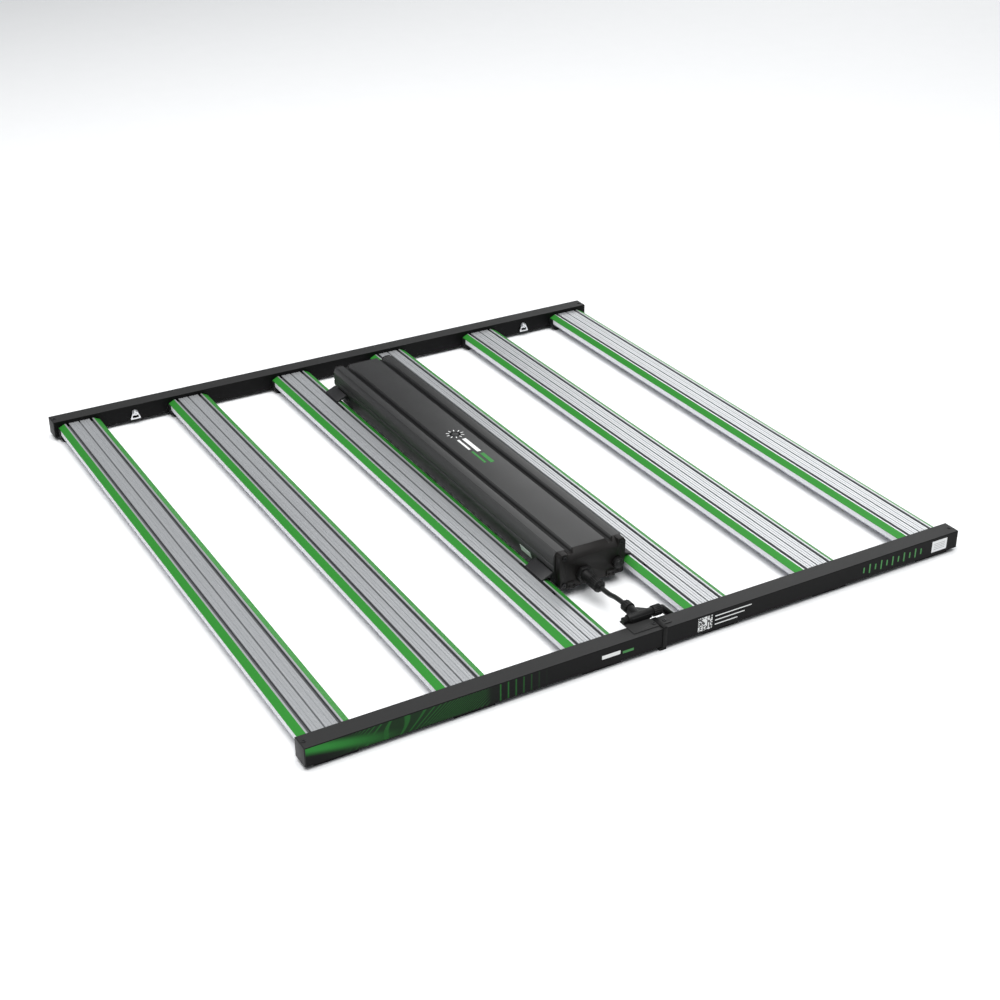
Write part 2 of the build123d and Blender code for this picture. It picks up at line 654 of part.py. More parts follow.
STRAP_X = -0.3
STRAP_WIDTH = 7.0
STRAP_THICKNESS = 1.0
with BuildPart() as strap:
    low, high = RAIL_BOTTOM, PLATE_TOP
    front, back = -FRAME_SIZE / 2, -RAIL_FACE
    with BuildSketch(along_rail(STRAP_X, (front + back) / 2, (low + high) / 2)):
        RectangleRounded(back - front + 2 * STRAP_THICKNESS, high - low + 2 * STRAP_THICKNESS,
                         RAIL_CORNER + STRAP_THICKNESS)
        Rectangle(back - front, high - low, mode=Mode.SUBTRACT)
    extrude(amount=STRAP_WIDTH / 2, both=True)
    with BuildSketch(Plane.XY.offset(low - STRAP_THICKNESS)):
        with Locations((STRAP_X - 1.5, front + 4)):
            RectangleRounded(11, 8, 1)
    extrude(amount=-4.8)
    with BuildSketch(Plane.XY.offset(low - STRAP_THICKNESS)):
        with Locations((STRAP_X - 1.5, front + 4)):
            Rectangle(3, 2)
    extrude(amount=-4.8, mode=Mode.SUBTRACT)
save(strap, "splitter_strap")


# ---- output lead, from the plug to the splitter ----
LEAD_ROUTE = [(SOCKET_X, PLUG_TAIL_END, SOCKET_Z), (SOCKET_X, -428.0, SOCKET_Z),
              (STEM_X, -452.0, TEE_Z), (STEM_X, STEM_END, TEE_Z)]


def lead_radii(points):
    """The largest arc that each corner's two runs allow."""
    radii = []
    for before, corner, after in zip(points, points[1:], points[2:]):
        first = Vector(*corner) - Vector(*before)
        second = Vector(*after) - Vector(*corner)
        half_turn = math.radians(first.get_angle(second)) / 2
        radii.append(0.45 * min(first.length, second.length) / math.tan(half_turn))
    return radii


radii = lead_radii(LEAD_ROUTE)
with BuildPart() as lead:
    with BuildLine():
        lead_path = FilletPolyline(*LEAD_ROUTE, radius=radii)
    with BuildSketch(Plane(lead_path @ 0, z_dir=lead_path % 0)):
        Circle(LEAD_RADIUS)
    sweep()
save(lead, "output_lead")
lead_ratio = lead.part.volume / (math.pi * LEAD_RADIUS ** 2 * lead_path.length)
print("output lead: radii", [round(r, 1) for r in radii],
      "length", round(lead_path.length, 1), "volume ratio", round(lead_ratio, 4))


# ---- mains gland on the rear cap ----
GLAND_BORE = 4.6
GLAND_INSIDE = 6.0           # how far the gland reaches past the cap into the housing
GLAND_FLANGE = 6.0
GLAND_NOSE = 14.0
GLAND_HEX = 13.5
NUT_HEX = 12.2
NUT_DEPTH = 12.0
with BuildPart() as gland:
    with BuildSketch(across(0, DRIVER_REAR, GLAND_Z)):
        RegularPolygon(GLAND_HEX, 6)
        Circle(GLAND_BORE, mode=Mode.SUBTRACT)
    extrude(amount=-GLAND_FLANGE)
    with BuildSketch(across(0, DRIVER_REAR + GLAND_FLANGE, GLAND_Z)):
        Circle(GLAND_NECK)
        Circle(GLAND_BORE, mode=Mode.SUBTRACT)
    extrude(amount=-GLAND_NOSE)
    with BuildSketch(across(0, DRIVER_REAR, GLAND_Z)):
        Circle(GLAND_NECK)
        Circle(GLAND_BORE, mode=Mode.SUBTRACT)
    extrude(amount=REAR_CAP + GLAND_INSIDE)
save(gland, "mains_gland")

with BuildPart() as gland_nut:
    with BuildSketch(across(0, DRIVER_REAR + GLAND_FLANGE + 0.5, GLAND_Z)):
        RegularPolygon(NUT_HEX, 6)
        Circle(GLAND_NECK + RUNNING_GAP, mode=Mode.SUBTRACT)
    extrude(amount=-NUT_DEPTH)
save(gland_nut, "mains_gland_nut")


# ---- brackets between the driver and the two middle bars ----
BRACKET_LENGTH = 48.0
BRACKET_YS = (-320.0, 384.0)
SHEET = 2.0
HOOK_OUT = 0.4               # the hook's outer face, inside the slot's centre line
SLOT_X = BAR_PITCH / 2 - SLOT_CENTRE
CLAMP_TOP = BAR_TOP + 0.4
CLAMP_LENGTH = 94.0
CLAMP_YS = (-330.5, 383.0)
lower_wall = Vector(WALL_KNEE[0] - WALL_FOOT[0], 0, WALL_KNEE[1] - WALL_FOOT[1]).normalized()
WALL_NORMAL = Vector(lower_wall.Z, 0, -lower_wall.X)


def wall_point(height, out=0.0):
    """A point of the right lower wall at a height, moved out along its normal."""
    run = (height - WALL_FOOT[1]) / (WALL_KNEE[1] - WALL_FOOT[1])
    x = WALL_FOOT[0] + run * (WALL_KNEE[0] - WALL_FOOT[0])
    return (x + out * WALL_NORMAL.X, height + out * WALL_NORMAL.Z)


def bracket_outline():
    """Section of the bent sheet: hook in the slot, slope, flange on the wall."""
    slope_in = wall_point(36.5, 0.3)
    hook = SLOT_X - HOOK_OUT
    return [(hook, CLAMP_TOP - 2.4), (hook, CLAMP_TOP + SHEET - 0.4),
            (hook - 2, CLAMP_TOP + SHEET),
            (slope_in[0] + 1.2, slope_in[1] + SHEET), (slope_in[0] - 0.2, slope_in[1] + 0.6),
            wall_point(25.5, 0.3), wall_point(25.5, 0.3 + SHEET), wall_point(34.5, 0.3 + SHEET),
            (hook - 3, CLAMP_TOP), (hook - SHEET, CLAMP_TOP),
            (hook - SHEET, CLAMP_TOP - 2.4)]


with BuildPart() as driver_brackets:
    for bracket_y in BRACKET_YS:
        with BuildSketch(across(0, bracket_y)):
            with BuildLine():
                Polyline(*bracket_outline(), close=True)
            make_face()
            mirror(about=Plane.YZ)
        extrude(amount=BRACKET_LENGTH / 2, both=True)
save(driver_brackets, "driver_brackets")

with BuildPart() as clamps:
    half_strip = SLOT_WIDTH / 2 - 0.2
    half_neck = SLOT_MOUTH / 2 - 0.2
    lip = BAR_TOP - SLOT_LIP - 0.2
    for clamp_y, bracket_y in zip(CLAMP_YS, BRACKET_YS):
        for hand in (-1, 1):
            with BuildSketch(across(hand * SLOT_X, clamp_y)):
                with BuildLine():
                    Polyline((-half_strip, SLOT_FLOOR), (half_strip, SLOT_FLOOR), (half_strip, lip),
                             (half_neck, lip), (half_neck, CLAMP_TOP), (-half_neck, CLAMP_TOP),
                             (-half_neck, lip), (-half_strip, lip), close=True)
                make_face()
            extrude(amount=CLAMP_LENGTH / 2, both=True)
            hook_middle = SLOT_X - HOOK_OUT - SHEET / 2
            with BuildSketch(across(hand * hook_middle, bracket_y, CLAMP_TOP)):
                Rectangle(SHEET + 0.1, 2 * 2.5)
            extrude(amount=BRACKET_LENGTH / 2 + 0.1, both=True, mode=Mode.SUBTRACT)
save(clamps, "groove_clamps")


# ---- hanger links: stamped plates that swing on bolts in the rails ----
LINK_THICKNESS = 2.6
LINK_STAND_OFF = 1.2
LINK_HALF_WIDTH = 9.0
LINK_DROP = 12.0
NECK_RADIUS = 2.2
BOLT_HEAD = 4.3
LINK_SLOT = (11.0, 4.8)


def make_link(name, x, side):
    """A triangular link with a round eye above and a slot for the hook below."""
    face = side * (RAIL_FACE - LINK_STAND_OFF)
    with BuildPart() as link:
        with BuildSketch(across(x, face, HANGER_Z)):
            with BuildLine():
                Polyline((-4.6, 1), (4.6, 1), (LINK_HALF_WIDTH, -LINK_DROP + 2.5),
                         (LINK_HALF_WIDTH, -LINK_DROP), (-LINK_HALF_WIDTH, -LINK_DROP),
                         (-LINK_HALF_WIDTH, -LINK_DROP + 2.5), close=True)
            make_face()
            Circle(5)
            with Locations((0, -6.9)):
                RectangleRounded(*LINK_SLOT, 1.2, mode=Mode.SUBTRACT)
            Circle(NECK_RADIUS + RUNNING_GAP, mode=Mode.SUBTRACT)
        extrude(amount=side * LINK_THICKNESS)
        fillet(link.edges().filter_by(Axis.Y).group_by(Axis.Z)[0], 1.2)
    save(link, name)


HANGERS = [(side, hand) for side in (-1, 1) for hand in (-1, 1)]
for number, (side, hand) in enumerate(HANGERS, start=1):
    make_link(f"hanger_link_{number}", hand * HANGER_X, side)

with BuildPart() as hanger_bolts:
    for side, hand in HANGERS:
        head = side * (RAIL_FACE - LINK_STAND_OFF - LINK_THICKNESS - 0.3)
        with BuildSketch(across(hand * HANGER_X, side * (RAIL_FACE + 8), HANGER_Z)):
            Circle(NECK_RADIUS)
        extrude(amount=side * (8 + LINK_STAND_OFF + LINK_THICKNESS + 0.3))
        with BuildSketch(across(hand * HANGER_X, head, HANGER_Z)):
            Circle(BOLT_HEAD)
        extrude(amount=side * 2.4, taper=14)
        with BuildSketch(across(hand * HANGER_X, head - side * 2.4, HANGER_Z)):
            RegularPolygon(1.7, 6)
        extrude(amount=-side * 1.6, mode=Mode.SUBTRACT)
save(hanger_bolts, "hanger_bolts")

with BuildPart() as rivet_nuts:
    for side, hand in HANGERS:
        face = side * RAIL_FACE
        with BuildSketch(across(hand * HANGER_X, face, HANGER_Z)):
            Circle(5.2)
            Circle(NECK_RADIUS, mode=Mode.SUBTRACT)
        extrude(amount=side * 0.9)
        with BuildSketch(across(hand * HANGER_X, face, HANGER_Z)):
            Circle(HANGER_NUT_RADIUS)
            Circle(NECK_RADIUS, mode=Mode.SUBTRACT)
        extrude(amount=-side * 9)
save(rivet_nuts, "hanger_rivet_nuts")


# ---- wiring inside the front rail ----
WIRE_RADIUS = 1.5
with BuildPart() as harness:
    with BuildSketch(along_rail(0, -RAIL_Y, FEED_Z + 4)):
        with Locations((-4, 0), (-4, 4)):
            Circle(WIRE_RADIUS)
    extrude(amount=BAR_XS[-1] + 20, both=True)
save(harness, "rail_wires")

with BuildPart() as connectors:
    for x in BAR_XS:
        with BuildSketch(across(x, -RAIL_FACE - 9, CONNECTOR_Z)):
            Circle(CONNECTOR_RADIUS)
        extrude(amount=-(9 + BRACKET_REACH))
save(connectors, "bar_connectors")
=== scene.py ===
import json
import math

import bmesh
import bpy
from mathutils import Euler, Matrix, Vector

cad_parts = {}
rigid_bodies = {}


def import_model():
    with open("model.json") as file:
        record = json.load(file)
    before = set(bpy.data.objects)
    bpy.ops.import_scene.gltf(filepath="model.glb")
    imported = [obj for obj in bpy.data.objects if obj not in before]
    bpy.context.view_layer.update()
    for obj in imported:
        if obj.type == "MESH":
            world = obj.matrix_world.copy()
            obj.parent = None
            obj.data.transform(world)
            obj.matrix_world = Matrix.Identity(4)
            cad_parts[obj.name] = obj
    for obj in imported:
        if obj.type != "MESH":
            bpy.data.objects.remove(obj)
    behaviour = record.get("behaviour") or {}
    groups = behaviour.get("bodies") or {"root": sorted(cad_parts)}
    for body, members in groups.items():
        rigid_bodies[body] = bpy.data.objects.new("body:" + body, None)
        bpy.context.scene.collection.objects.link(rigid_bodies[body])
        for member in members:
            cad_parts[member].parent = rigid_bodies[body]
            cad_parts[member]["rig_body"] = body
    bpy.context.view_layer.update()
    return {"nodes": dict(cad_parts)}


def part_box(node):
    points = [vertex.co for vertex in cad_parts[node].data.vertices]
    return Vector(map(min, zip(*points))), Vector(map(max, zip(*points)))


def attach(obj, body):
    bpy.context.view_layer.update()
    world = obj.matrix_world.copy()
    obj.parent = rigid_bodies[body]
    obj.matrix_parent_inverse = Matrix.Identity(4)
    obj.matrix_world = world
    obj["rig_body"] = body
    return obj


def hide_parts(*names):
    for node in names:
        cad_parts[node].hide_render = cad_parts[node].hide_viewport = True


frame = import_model()


# ---- camera, floor and lights ----
# A studio table with a low curved rim, one wide soft box overhead, and one low soft box
# behind on the right, which the silver lands and the black tops reflect.
CAMERA_PLACE = (-1.15074, -2.08292, 1.28251)
CAMERA_DIP = math.radians(28.71)
CAMERA_TURN = math.radians(-29.96)
camera_data = bpy.data.cameras.new("camera")
camera_data.lens = 59.09
camera_data.sensor_width = 36.0
camera = bpy.data.objects.new("camera", camera_data)
camera.location = CAMERA_PLACE
camera.rotation_euler = Euler((math.pi / 2 - CAMERA_DIP, 0, CAMERA_TURN))
bpy.context.scene.collection.objects.link(camera)
bpy.context.scene.camera = camera
bpy.context.scene.view_settings.view_transform = "Standard"

studio = bpy.data.worlds.new("studio")
studio.use_nodes = True
studio_air = studio.node_tree.nodes["Background"]
studio_air.inputs["Color"].default_value = (0.9, 0.95, 1.0, 1)
studio_air.inputs["Strength"].default_value = 0.16
bpy.context.scene.world = studio


def soft_box(name, place, width, depth, power):
    """A rectangular light that faces the middle of the table."""
    light = bpy.data.lights.new(name, "AREA")
    light.shape = "RECTANGLE"
    light.size = width
    light.size_y = depth
    light.energy = power
    lamp = bpy.data.objects.new(name, light)
    lamp.location = place
    lamp.rotation_euler = (-Vector(place)).to_track_quat("-Z", "Y").to_euler()
    lamp.visible_camera = False
    bpy.context.scene.collection.objects.link(lamp)


soft_box("overhead", (-0.6, -0.6, 4.2), width=5.0, depth=5.0, power=330)
soft_box("low_back_right", (4.2, 3.6, 2.9), width=3.4, depth=2.4, power=62)


class Wire:
    """One shader socket, so that masks and heights are written as Python expressions."""

    def __init__(self, tree, socket):
        self.tree = tree
        self.socket = socket

    def __getitem__(self, name):
        return Wire(self.tree, self.socket.node.outputs[name])

    def math(self, operation, *values):
        return add_node(self.tree, "ShaderNodeMath", {"operation": operation}, values)

    def __add__(self, other):
        return self.math("ADD", self, other)

    def __radd__(self, other):
        return self.math("ADD", other, self)

    def __sub__(self, other):
        return self.math("SUBTRACT", self, other)

    def __rsub__(self, other):
        return self.math("SUBTRACT", other, self)

    def __mul__(self, other):
        return self.math("MULTIPLY", self, other)

    def __truediv__(self, other):
        return self.math("DIVIDE", self, other)

    def __mod__(self, other):
        return self.math("FLOORED_MODULO", self, other)

    def __gt__(self, other):
        return self.math("GREATER_THAN", self, other)

    def __lt__(self, other):
        return self.math("LESS_THAN", self, other)

    def __abs__(self):
        return self.math("ABSOLUTE", self)


def add_node(tree, kind, settings, values):
    """Adds a node, sets its settings, then fills its sockets, by order or by name."""
    node = tree.nodes.new(kind)
    for name, value in settings.items():
        setattr(node, name, value)
    pairs = values.items() if isinstance(values, dict) else enumerate(values)
    for key, value in pairs:
        if isinstance(value, Wire):
            tree.links.new(value.socket, node.inputs[key])
        else:
            node.inputs[key].default_value = value
    return Wire(tree, node.outputs[0])


class Finish:
    """A Principled material with the Object coordinates that its patterns read."""

    def __init__(self, name, color, roughness, metallic=0.0, specular=0.5, **uniform):
        self.material = bpy.data.materials.new(name)
        self.material.use_nodes = True
        self.tree = self.material.node_tree
        self.shader = self.tree.nodes["Principled BSDF"]
        self.place = self.node("ShaderNodeTexCoord", {}, {})["Object"]
        self.axes = self.node("ShaderNodeSeparateXYZ", {}, [self.place])
        self.color = color
        self.feed("Base Color", (*color, 1))
        self.feed("Roughness", roughness)
        self.feed("Metallic", metallic)
        self.feed("Specular IOR Level", specular)
        for socket, value in uniform.items():
            self.feed(socket.replace("_", " "), value)

    def node(self, kind, settings, values):
        return add_node(self.tree, kind, settings, values)

    def feed(self, socket, value):
        """Sets one of the shader's sockets to a number, a colour or a wire."""
        if isinstance(value, Wire):
            self.tree.links.new(value.socket, self.shader.inputs[socket])
        else:
            self.shader.inputs[socket].default_value = value

    def noise(self, scale, detail=3.0, stretch=(1, 1, 1)):
        """Noise of about 0 to 1; stretch lengthens its grains along an axis."""
        squeezed = self.node("ShaderNodeVectorMath", {"operation": "DIVIDE"}, [self.place, stretch])
        return self.node("ShaderNodeTexNoise", {}, {
            "Vector": squeezed, "Scale": scale, "Detail": detail})

    def mix(self, mask, below, above):
        """One colour where the mask is 0 and another where it is 1."""
        mixed = self.node("ShaderNodeMix", {"data_type": "RGBA"}, {0: mask})
        for key, value in ((6, below), (7, above)):
            if isinstance(value, Wire):
                self.tree.links.new(value.socket, mixed.socket.node.inputs[key])
            else:
                mixed.socket.node.inputs[key].default_value = (*value, 1)
        return Wire(self.tree, mixed.socket.node.outputs[2])

    def smooth(self, value, low, high):
        """0 below low, 1 above high, and a soft step between them."""
        return self.node("ShaderNodeMapRange", {"interpolation_type": "SMOOTHSTEP"}, [
            value, low, high])

    def bump(self, height, strength, distance=0.0002):
        """Raises the surface by a height of 0 to 1 times the distance, in metres."""
        self.feed("Normal", self.node("ShaderNodeBump", {}, {
            "Height": height, "Strength": strength, "Distance": distance}))

    def grain(self, scale, strength, spread=0.12):
        """Fine relief, with a little change of colour and gloss over larger patches."""
        self.bump(self.noise(scale, 2.0), strength)
        patches = self.noise(14.0, 4.0)
        darker = tuple(c * (1 - spread) for c in self.color)
        lighter = tuple(min(1.0, c * (1 + spread)) for c in self.color)
        self.feed("Base Color", self.mix(patches, darker, lighter))
        gloss = self.shader.inputs["Roughness"].default_value
        self.feed("Roughness", gloss - 0.05 + patches * 0.1)

    def on(self, *names):
        """Puts this finish on CAD nodes."""
        for name in names:
            node = frame["nodes"][name]
            node.data.materials.clear()
            node.data.materials.append(self.material)


TABLE_OUTLINE = ((0, 0, 0), (7.0, 0, 0), (8.2, 0, 0.15), (8.9, 0, 0.8), (9.0, 0, 2.2))
table = bmesh.new()
rim = [table.verts.new(place) for place in TABLE_OUTLINE]
rim_edges = [table.edges.new(pair) for pair in zip(rim, rim[1:])]
bmesh.ops.spin(table, geom=rim + rim_edges, cent=(0, 0, 0), axis=(0, 0, 1),
               angle=2 * math.pi, steps=96, use_merge=True)
bmesh.ops.remove_doubles(table, verts=table.verts, dist=1e-5)
bmesh.ops.recalc_face_normals(table, faces=table.faces)
table_mesh = bpy.data.meshes.new("studio_floor")
table.to_mesh(table_mesh)
table_mesh.shade_smooth()
studio_floor = bpy.data.objects.new("studio_floor", table_mesh)
bpy.context.scene.collection.objects.link(studio_floor)
floor_paper = Finish("floor_paper", (0.93, 0.935, 0.94), 0.8, specular=0.2)
floor_paper.grain(400.0, 0.03, 0.01)
table_mesh.materials.append(floor_paper.material)


# ---- output lead ----
# The driver's low-voltage lead, a round black sheath of 7.5 mm. It leaves the plug on the
# driver's front cap, sags a little and rises into the splitter's inlet.
def add_piece(name, shape, material, body="fixture"):
    """Turns a bmesh into a finished object at the origin that rides on a body."""
    mesh = bpy.data.meshes.new(name)
    shape.to_mesh(mesh)
    shape.free()
    mesh.shade_smooth()
    mesh.set_sharp_from_angle(angle=math.radians(35))
    piece = bpy.data.objects.new(name, mesh)
    bpy.context.scene.collection.objects.link(piece)
    mesh.materials.append(material)
    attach(piece, body)
    return piece


LEAD_DIAMETER = 0.0075
LEAD_ROUTE = [(-0.0156, -0.4083, 0.0316), (-0.0156, -0.4280, 0.0316),
              (-0.0195, -0.4520, 0.0412), (-0.0195, -0.4730, 0.0412)]
sheath = Finish("lead_sheath", (0.012, 0.012, 0.012), 0.42, specular=0.4)
sheath.grain(1600.0, 0.08)

lead_data = bpy.data.curves.new("feed_lead", "CURVE")
lead_data.dimensions = "3D"
lead_line = lead_data.splines.new("NURBS")
lead_line.points.add(len(LEAD_ROUTE) - 1)
for point, place in zip(lead_line.points, LEAD_ROUTE):
    point.co = (*place, 1)
lead_line.order_u = 3
lead_line.use_endpoint_u = True
lead_line.resolution_u = 24
lead_data.bevel_depth = LEAD_DIAMETER / 2
lead_data.bevel_resolution = 6
lead_data.use_fill_caps = True
feed_lead = bpy.data.objects.new("feed_lead", lead_data)
bpy.context.scene.collection.objects.link(feed_lead)
lead_data.materials.append(sheath.material)
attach(feed_lead, "fixture")
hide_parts("output_lead")


# ---- end rails ----
# Square aluminium tube with a satin black powder coat, its upward face painted greyer as
# rail's painted light from above. The front rail's outer face is printed from its left end: a
# slanted green glow, fine curved lines over a faint haze, and upright strokes that fade out.
rail_low, rail_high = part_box("front_rail")
rail_front = rail_low.y
rail_left = rail_low.x
RAIL_BLACK = (0.0035, 0.0035, 0.0037)
LIT_TOP_BLACK = (0.030, 0.030, 0.030)
PRINT_GREEN = (0.024, 0.21, 0.032)


def coat_with_lit_top(name):
    """A black powder coat, whose upward face is painted greyer as painted light from above."""
    coat = Finish(name, RAIL_BLACK, 0.46, specular=0.10)
    coat.grain(1300.0, 0.12, 0.2)
    # painted light: the upward face is painted greyer than the sides, as light falling from above
    painted_top_light = coat.axes["Z"] > rail_high.z - 0.0001
    return coat, coat.mix(painted_top_light, RAIL_BLACK, LIT_TOP_BLACK)


rail_coat, rail_black_lit_top = coat_with_lit_top("rail_coat")
rail_coat.feed("Base Color", rail_black_lit_top)
rail_coat.on("rear_rail")

printed_coat, printed_rail_black_lit_top = coat_with_lit_top("printed_rail_coat")
along = printed_coat.axes["X"] - rail_left
up = (printed_coat.axes["Z"] - rail_low.z) / (rail_high.z - rail_low.z)
on_face = printed_coat.axes["Y"] < rail_front + 0.0002
inside_edge = (up > 0.05) * (up < 0.95)

GLOW_END = 0.15
glow_height = 0.92 - along * 6.2
glow_band = 1 - printed_coat.smooth(abs(up - glow_height), 0.05, 0.42)
glow = glow_band * (1 - printed_coat.smooth(along, 0.01, GLOW_END))

HAZE_MIDDLE = 0.15
haze = (1 - printed_coat.smooth(abs(along - HAZE_MIDDLE), 0.05, 0.14)) * 0.10
LINES_END = 0.268
hill = printed_coat.node("ShaderNodeMath", {"operation": "SINE"}, [along * 31.0 - up * 1.4])
contour = (along * 130.0 - up * 4.4 + hill * 3.2) % 1.0
lines = 1 - printed_coat.smooth(abs(contour - 0.5), 0.08, 0.20)
lines_start = printed_coat.smooth(along, 0.035, 0.09)
lines_in = lines_start * (1 - printed_coat.smooth(along, LINES_END - 0.013, LINES_END))

TICKS_START = 0.272
TICKS_END = 0.36
tick = (along * 84.0) % 1.0
ticks = (1 - printed_coat.smooth(abs(tick - 0.5), 0.06, 0.12)) * (along > TICKS_START)
ticks_out = 1 - printed_coat.smooth(along, TICKS_START + 0.013, TICKS_END)
drawn = lines * lines_in * 0.42 + ticks * ticks_out * 0.5
ink = on_face * inside_edge * printed_coat.node("ShaderNodeMath", {"operation": "MAXIMUM"}, [
    glow + haze, drawn])
printed_coat.feed("Base Color", printed_coat.mix(ink, printed_rail_black_lit_top, PRINT_GREEN))
printed_coat.on("front_rail")


# ---- printed marks and labels on the front rail ----
# Thin printed films on the rail's outer face: a two-bar mark, a square of plain cells with
# three rules beside it, a row of green strokes at the right, and a white paper label.
FILM = 0.0003


def film(name, left, right, low, high, material):
    """A thin film with rounded edges on the rail's outer face."""
    shape = bmesh.new()
    size = Matrix.Diagonal((right - left, FILM, high - low, 1))
    middle = Matrix.Translation(((left + right) / 2, rail_front, (low + high) / 2))
    bmesh.ops.create_cube(shape, size=1.0, matrix=middle @ size)
    corners = [e for e in shape.edges if abs((e.verts[0].co - e.verts[1].co).y) > FILM / 2]
    bmesh.ops.bevel(shape, geom=corners, offset=0.0005, affect="EDGES", segments=3,
                    profile=0.5, material=-1)
    return add_piece(name, shape, material)


PAPER_WHITE = (0.80, 0.81, 0.81)
INK_WHITE = (0.78, 0.79, 0.78)
face_middle = (rail_low.z + rail_high.z) / 2
white_ink = Finish("white_ink", INK_WHITE, 0.5)
white_ink.grain(900.0, 0.04)
green_ink = Finish("green_ink", PRINT_GREEN, 0.45)
green_ink.grain(900.0, 0.04)

film("mark_bar_white", -0.104, -0.074, face_middle - 0.0025, face_middle + 0.0035,
     white_ink.material)
film("mark_bar_green", -0.070, -0.052, face_middle - 0.0035, face_middle + 0.0005,
     green_ink.material)

CELL = 0.0018
cells = Finish("cell_square", INK_WHITE, 0.5)
cell_grid = cells.node("ShaderNodeVectorMath", {"operation": "SNAP"}, [cells.place, (CELL,) * 3])
cell_noise = cells.node("ShaderNodeTexWhiteNoise", {"noise_dimensions": "3D"}, [cell_grid])
cells.feed("Base Color", cells.mix(cell_noise > 0.5, (0.02, 0.02, 0.02), (0.75, 0.76, 0.75)))
film("cell_square", 0.0567, 0.0811, face_middle - 0.0105, face_middle + 0.0115, cells.material)

RULE_STEP = 0.0068
RULE_HEIGHT = 0.0016
for row in range(3):
    base = face_middle + 0.0065 - row * RULE_STEP
    film(f"small_rule_{row + 1}", 0.086, 0.150 - row * 0.012, base, base + RULE_HEIGHT,
         white_ink.material)

STROKES = 11
STROKE_STEP = 0.0112
STROKE_WIDTH = 0.0026
for stroke in range(STROKES):
    left = 0.358 + stroke * STROKE_STEP
    half_height = 0.0078 if stroke % 2 else 0.0048
    film(f"green_stroke_{stroke + 1}", left, left + STROKE_WIDTH, face_middle - half_height,
         face_middle + half_height, green_ink.material)

LABEL_MIDDLE = 0.5085
label_paper = Finish("label_paper", PAPER_WHITE, 0.55)
label_row = (label_paper.axes["Z"] * 330.0) % 1.0
across_label = abs(label_paper.axes["X"] - LABEL_MIDDLE) < 0.011
up_label = abs(label_paper.axes["Z"] - face_middle) < 0.006
label_ink = (label_row < 0.35) * (across_label * up_label)
label_paper.feed("Base Color", label_paper.mix(label_ink, PAPER_WHITE, (0.42, 0.43, 0.44)))
label_paper.bump(label_paper.noise(700.0), 0.05)
film("rail_label", LABEL_MIDDLE - 0.015, LABEL_MIDDLE + 0.015, face_middle - 0.0095,
     face_middle + 0.0095, label_paper.material)


# ---- end caps of the rails ----
# Moulded black nylon plugs, a shade greyer than the rails, pressed into the tube's ends
# and held by a small button-head screw from above.
def soften(name, node, width, finish, segments=2, sharp=28):
    """Replaces a CAD node with a copy whose flat faces are joined and edges rounded."""
    source = frame["nodes"][node]
    shape = bmesh.new()
    shape.from_mesh(source.data)
    bmesh.ops.remove_doubles(shape, verts=shape.verts, dist=2e-6)
    bmesh.ops.dissolve_limit(shape, angle_limit=math.radians(0.6), verts=shape.verts,
                             edges=shape.edges)
    edges = [e for e in shape.edges if len(e.link_faces) == 2
             and e.calc_face_angle() > math.radians(sharp)]
    bmesh.ops.bevel(shape, geom=edges, offset=width, affect="EDGES", segments=segments,
                    profile=0.5, material=-1, clamp_overlap=True)
    piece = add_piece(name, shape, finish.material, source["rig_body"])
    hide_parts(node)
    return piece


cap_nylon = Finish("cap_nylon", (0.012, 0.012, 0.0125), 0.5, specular=0.2)
cap_nylon.grain(1800.0, 0.2)
soften("rail_plugs", "rail_end_caps", 0.0005, cap_nylon)

screw_black = Finish("screw_black", (0.014, 0.014, 0.015), 0.36, metallic=0.35)
screw_black.grain(2500.0, 0.1)
screw_black.on("bar_bracket_screws", "driver_cap_screws")
soften("button_screws", "rail_screws", 0.00025, screw_black)


# ---- light bars ----
# Aluminium extrusions, natural anodised on the lands and in the slots, with the sloped
# shoulders masked and dyed green. Draw lines run along the whole length. Everything more
# than a few millimetres below the lands is painted a darker grey as painted shade in the slots.
bar_low, bar_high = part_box("bar_heatsink_1")
bar_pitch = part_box("bar_heatsink_2")[0].x - bar_low.x
bar_centre = (bar_low.x + bar_high.x) / 2
SHOULDER_START = 0.0262
SHOULDER_FLOOR = 0.0226
SILVER = (0.55, 0.562, 0.575)
BAR_GREEN = (0.028, 0.245, 0.028)

BAR_METALLIC = 0.62

anodised = Finish("anodised_bar", SILVER, 0.34, metallic=BAR_METALLIC, specular=0.4)
bar_edge = bar_centre - bar_pitch / 2
from_centre = abs((anodised.axes["X"] - bar_edge) % bar_pitch - bar_pitch / 2)
green = (from_centre > SHOULDER_START) * (anodised.axes["Z"] > SHOULDER_FLOOR)
draw_lines = anodised.noise(900.0, 3.0, (1, 400, 1))
long_marks = anodised.noise(120.0, 2.0, (1, 120, 1))
silver = anodised.mix(draw_lines, tuple(c * 0.86 for c in SILVER), tuple(c * 1.12 for c in SILVER))
dull_green = tuple(c * 0.93 for c in BAR_GREEN)
fresh_green = tuple(c * 1.07 for c in BAR_GREEN)
dyed = anodised.mix(long_marks, dull_green, fresh_green)
# painted shade: below the lands, the slots are painted a darker grey than the silver
out_of_slot = anodised.smooth(anodised.axes["Z"], bar_high.z - 0.0045, bar_high.z - 0.0006)
shaded = anodised.mix(out_of_slot, (0.24, 0.245, 0.255), silver)
anodised.feed("Base Color", anodised.mix(green, shaded, dyed))
anodised.feed("Metallic", BAR_METALLIC - green * 0.42)
anodised.feed("Roughness", 0.30 + draw_lines * 0.1 + green * 0.08)
anodised.bump(draw_lines, 0.10, 0.0001)
BARS = range(1, 7)
anodised.on(*[f"bar_heatsink_{number}" for number in BARS])


